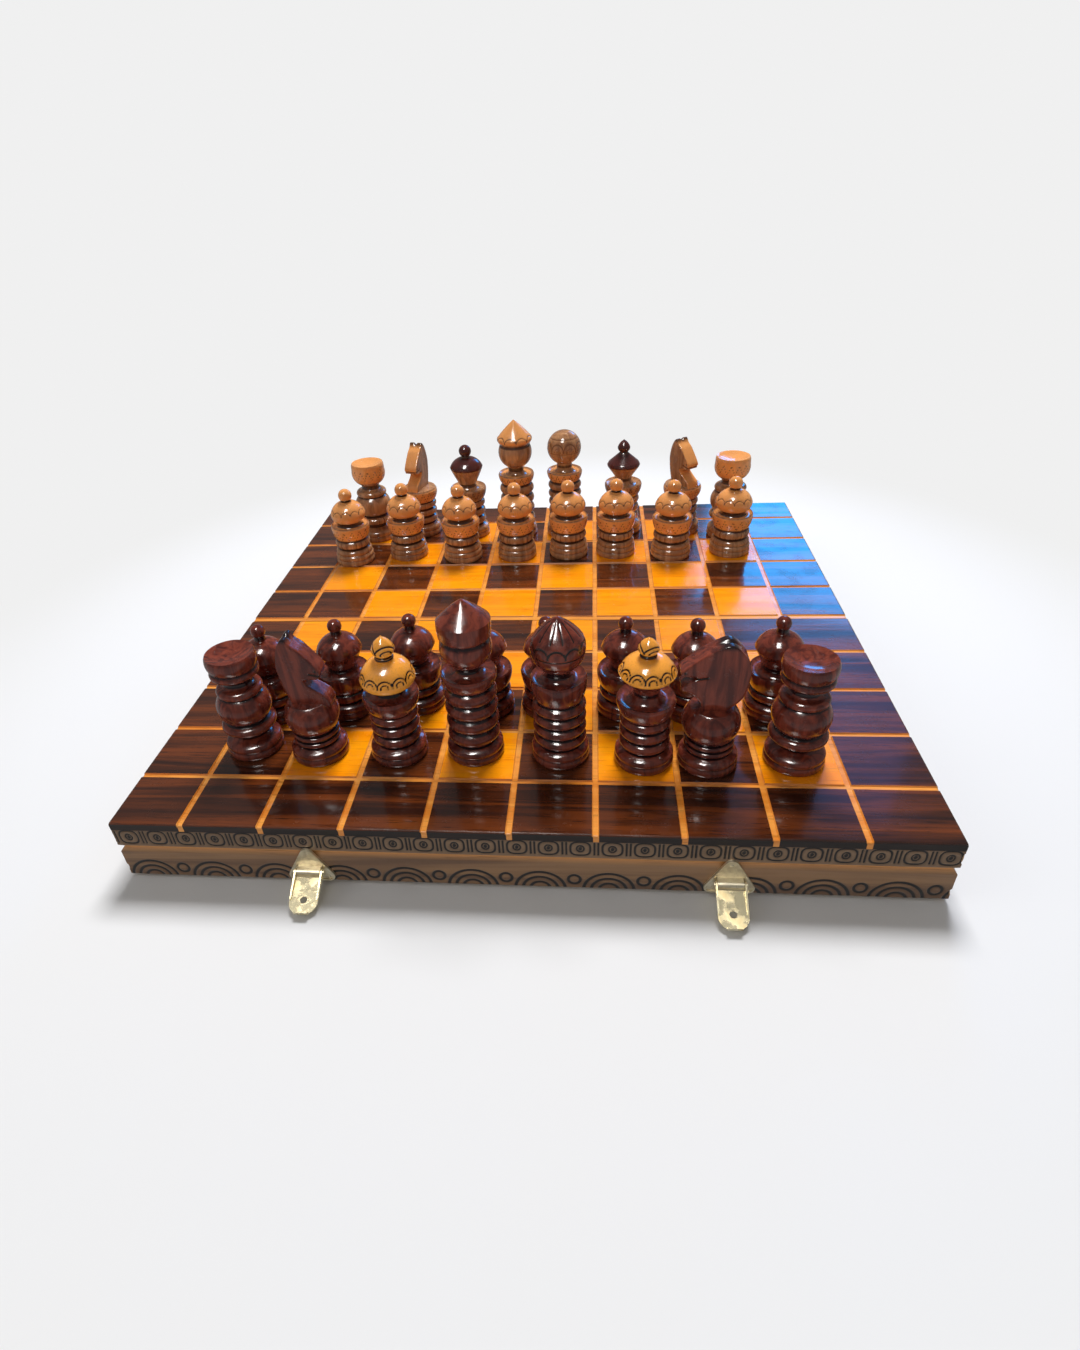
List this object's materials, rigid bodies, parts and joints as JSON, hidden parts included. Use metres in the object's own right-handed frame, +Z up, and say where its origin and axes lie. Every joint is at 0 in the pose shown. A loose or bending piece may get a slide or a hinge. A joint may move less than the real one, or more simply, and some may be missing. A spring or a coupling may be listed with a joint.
{
  "type": "folding chess box",
  "caption": "Folding wooden chess box: two hinged trays form the board, with brass clasps and a full turned wooden chess set standing in its opening position.",
  "frame": {"origin": "middle of the fold line, in the plane of the tray rims that rest on the table", "axes": "+X along the fold to the player's right, +Y from the near edge with the clasps to the far edge, +Z up out of the playing side"},
  "size_m": [0.3976, 0.4167, 0.129],
  "materials": {
    "board_wood": "glossy varnished playing panel, dark and orange squares with orange grooves",
    "rail_wood": "dark stained rails with carved and burnt bands",
    "dark_men_wood": "dark mahogany gloss",
    "light_men_wood": "tan varnished, burnt ring ornament",
    "aged_brass": "pale aged brass",
    "steel_screws": "plain steel"
  },
  "bodies": {
    "near_half": {"near_panel": "board_wood", "near_front_rail": "rail_wood", "near_left_rail": "rail_wood", "near_right_rail": "rail_wood", "near_fold_rail": "rail_wood", "hinge_left_near_leaf": "aged_brass", "hinge_right_near_leaf": "aged_brass", "hinge_pins": "aged_brass", "hinge_screws_near": "steel_screws", "left_clasp_plate": "aged_brass", "right_clasp_plate": "aged_brass", "clasp_pins": "aged_brass", "clasp_nails": "aged_brass"},
    "far_half": {"far_panel": "board_wood", "far_back_rail": "rail_wood", "far_left_rail": "rail_wood", "far_right_rail": "rail_wood", "far_fold_rail": "rail_wood", "hinge_left_far_leaf": "aged_brass", "hinge_right_far_leaf": "aged_brass", "hinge_screws_far": "steel_screws", "left_catch": "aged_brass", "right_catch": "aged_brass", "catch_nails": "aged_brass"},
    "left_hasp": {"left_clasp_hasp": "aged_brass"},
    "right_hasp": {"right_clasp_hasp": "aged_brass"},
    "far_bishop_left": {"far_bishop_left": "light_men_wood"},
    "far_bishop_right": {"far_bishop_right": "light_men_wood"},
    "far_king": {"far_king": "light_men_wood"},
    "far_knight_left": {"far_knight_left": "light_men_wood"},
    "far_knight_right": {"far_knight_right": "light_men_wood"},
    "far_pawn_1": {"far_pawn_1": "light_men_wood"},
    "far_pawn_2": {"far_pawn_2": "light_men_wood"},
    "far_pawn_3": {"far_pawn_3": "light_men_wood"},
    "far_pawn_4": {"far_pawn_4": "light_men_wood"},
    "far_pawn_5": {"far_pawn_5": "light_men_wood"},
    "far_pawn_6": {"far_pawn_6": "light_men_wood"},
    "far_pawn_7": {"far_pawn_7": "light_men_wood"},
    "far_pawn_8": {"far_pawn_8": "light_men_wood"},
    "far_queen": {"far_queen": "light_men_wood"},
    "far_rook_left": {"far_rook_left": "light_men_wood"},
    "far_rook_right": {"far_rook_right": "light_men_wood"},
    "near_bishop_left": {"near_bishop_left": "dark_men_wood"},
    "near_bishop_right": {"near_bishop_right": "dark_men_wood"},
    "near_king": {"near_king": "dark_men_wood"},
    "near_knight_left": {"near_knight_left": "dark_men_wood"},
    "near_knight_right": {"near_knight_right": "dark_men_wood"},
    "near_pawn_1": {"near_pawn_1": "dark_men_wood"},
    "near_pawn_2": {"near_pawn_2": "dark_men_wood"},
    "near_pawn_3": {"near_pawn_3": "dark_men_wood"},
    "near_pawn_4": {"near_pawn_4": "dark_men_wood"},
    "near_pawn_5": {"near_pawn_5": "dark_men_wood"},
    "near_pawn_6": {"near_pawn_6": "dark_men_wood"},
    "near_pawn_7": {"near_pawn_7": "dark_men_wood"},
    "near_pawn_8": {"near_pawn_8": "dark_men_wood"},
    "near_queen": {"near_queen": "dark_men_wood"},
    "near_rook_left": {"near_rook_left": "dark_men_wood"},
    "near_rook_right": {"near_rook_right": "dark_men_wood"}
  },
  "joints": [
    {"name": "board_fold", "type": "hinge", "parent": "near_half", "child": "far_half", "pos_m": [0, 0, 0], "axis": [-1, 0, 0], "range_deg": [0, 180]},
    {"name": "clasp_left_swing", "type": "hinge", "parent": "near_half", "child": "left_hasp", "pos_m": [-0.1017, -0.1985, 0.009], "axis": [1, 0, 0], "range_deg": [-75, 70]},
    {"name": "clasp_right_swing", "type": "hinge", "parent": "near_half", "child": "right_hasp", "pos_m": [0.1, -0.1985, 0.009], "axis": [1, 0, 0], "range_deg": [-75, 70]},
    {"name": "lift_far_bishop_left", "type": "slide", "parent": "far_half", "child": "far_bishop_left", "axis": [0, 0, 1], "range_m": [0, 0.1]},
    {"name": "lift_far_bishop_right", "type": "slide", "parent": "far_half", "child": "far_bishop_right", "axis": [0, 0, 1], "range_m": [0, 0.1]},
    {"name": "lift_far_king", "type": "slide", "parent": "far_half", "child": "far_king", "axis": [0, 0, 1], "range_m": [0, 0.1]},
    {"name": "lift_far_knight_left", "type": "slide", "parent": "far_half", "child": "far_knight_left", "axis": [0, 0, 1], "range_m": [0, 0.1]},
    {"name": "lift_far_knight_right", "type": "slide", "parent": "far_half", "child": "far_knight_right", "axis": [0, 0, 1], "range_m": [0, 0.1]},
    {"name": "lift_far_pawn_1", "type": "slide", "parent": "far_half", "child": "far_pawn_1", "axis": [0, 0, 1], "range_m": [0, 0.1]},
    {"name": "lift_far_pawn_2", "type": "slide", "parent": "far_half", "child": "far_pawn_2", "axis": [0, 0, 1], "range_m": [0, 0.1]},
    {"name": "lift_far_pawn_3", "type": "slide", "parent": "far_half", "child": "far_pawn_3", "axis": [0, 0, 1], "range_m": [0, 0.1]},
    {"name": "lift_far_pawn_4", "type": "slide", "parent": "far_half", "child": "far_pawn_4", "axis": [0, 0, 1], "range_m": [0, 0.1]},
    {"name": "lift_far_pawn_5", "type": "slide", "parent": "far_half", "child": "far_pawn_5", "axis": [0, 0, 1], "range_m": [0, 0.1]},
    {"name": "lift_far_pawn_6", "type": "slide", "parent": "far_half", "child": "far_pawn_6", "axis": [0, 0, 1], "range_m": [0, 0.1]},
    {"name": "lift_far_pawn_7", "type": "slide", "parent": "far_half", "child": "far_pawn_7", "axis": [0, 0, 1], "range_m": [0, 0.1]},
    {"name": "lift_far_pawn_8", "type": "slide", "parent": "far_half", "child": "far_pawn_8", "axis": [0, 0, 1], "range_m": [0, 0.1]},
    {"name": "lift_far_queen", "type": "slide", "parent": "far_half", "child": "far_queen", "axis": [0, 0, 1], "range_m": [0, 0.1]},
    {"name": "lift_far_rook_left", "type": "slide", "parent": "far_half", "child": "far_rook_left", "axis": [0, 0, 1], "range_m": [0, 0.1]},
    {"name": "lift_far_rook_right", "type": "slide", "parent": "far_half", "child": "far_rook_right", "axis": [0, 0, 1], "range_m": [0, 0.1]},
    {"name": "lift_near_bishop_left", "type": "slide", "parent": "near_half", "child": "near_bishop_left", "axis": [0, 0, 1], "range_m": [0, 0.1]},
    {"name": "lift_near_bishop_right", "type": "slide", "parent": "near_half", "child": "near_bishop_right", "axis": [0, 0, 1], "range_m": [0, 0.1]},
    {"name": "lift_near_king", "type": "slide", "parent": "near_half", "child": "near_king", "axis": [0, 0, 1], "range_m": [0, 0.1]},
    {"name": "lift_near_knight_left", "type": "slide", "parent": "near_half", "child": "near_knight_left", "axis": [0, 0, 1], "range_m": [0, 0.1]},
    {"name": "lift_near_knight_right", "type": "slide", "parent": "near_half", "child": "near_knight_right", "axis": [0, 0, 1], "range_m": [0, 0.1]},
    {"name": "lift_near_pawn_1", "type": "slide", "parent": "near_half", "child": "near_pawn_1", "axis": [0, 0, 1], "range_m": [0, 0.1]},
    {"name": "lift_near_pawn_2", "type": "slide", "parent": "near_half", "child": "near_pawn_2", "axis": [0, 0, 1], "range_m": [0, 0.1]},
    {"name": "lift_near_pawn_3", "type": "slide", "parent": "near_half", "child": "near_pawn_3", "axis": [0, 0, 1], "range_m": [0, 0.1]},
    {"name": "lift_near_pawn_4", "type": "slide", "parent": "near_half", "child": "near_pawn_4", "axis": [0, 0, 1], "range_m": [0, 0.1]},
    {"name": "lift_near_pawn_5", "type": "slide", "parent": "near_half", "child": "near_pawn_5", "axis": [0, 0, 1], "range_m": [0, 0.1]},
    {"name": "lift_near_pawn_6", "type": "slide", "parent": "near_half", "child": "near_pawn_6", "axis": [0, 0, 1], "range_m": [0, 0.1]},
    {"name": "lift_near_pawn_7", "type": "slide", "parent": "near_half", "child": "near_pawn_7", "axis": [0, 0, 1], "range_m": [0, 0.1]},
    {"name": "lift_near_pawn_8", "type": "slide", "parent": "near_half", "child": "near_pawn_8", "axis": [0, 0, 1], "range_m": [0, 0.1]},
    {"name": "lift_near_queen", "type": "slide", "parent": "near_half", "child": "near_queen", "axis": [0, 0, 1], "range_m": [0, 0.1]},
    {"name": "lift_near_rook_left", "type": "slide", "parent": "near_half", "child": "near_rook_left", "axis": [0, 0, 1], "range_m": [0, 0.1]},
    {"name": "lift_near_rook_right", "type": "slide", "parent": "near_half", "child": "near_rook_right", "axis": [0, 0, 1], "range_m": [0, 0.1]}
  ]
}
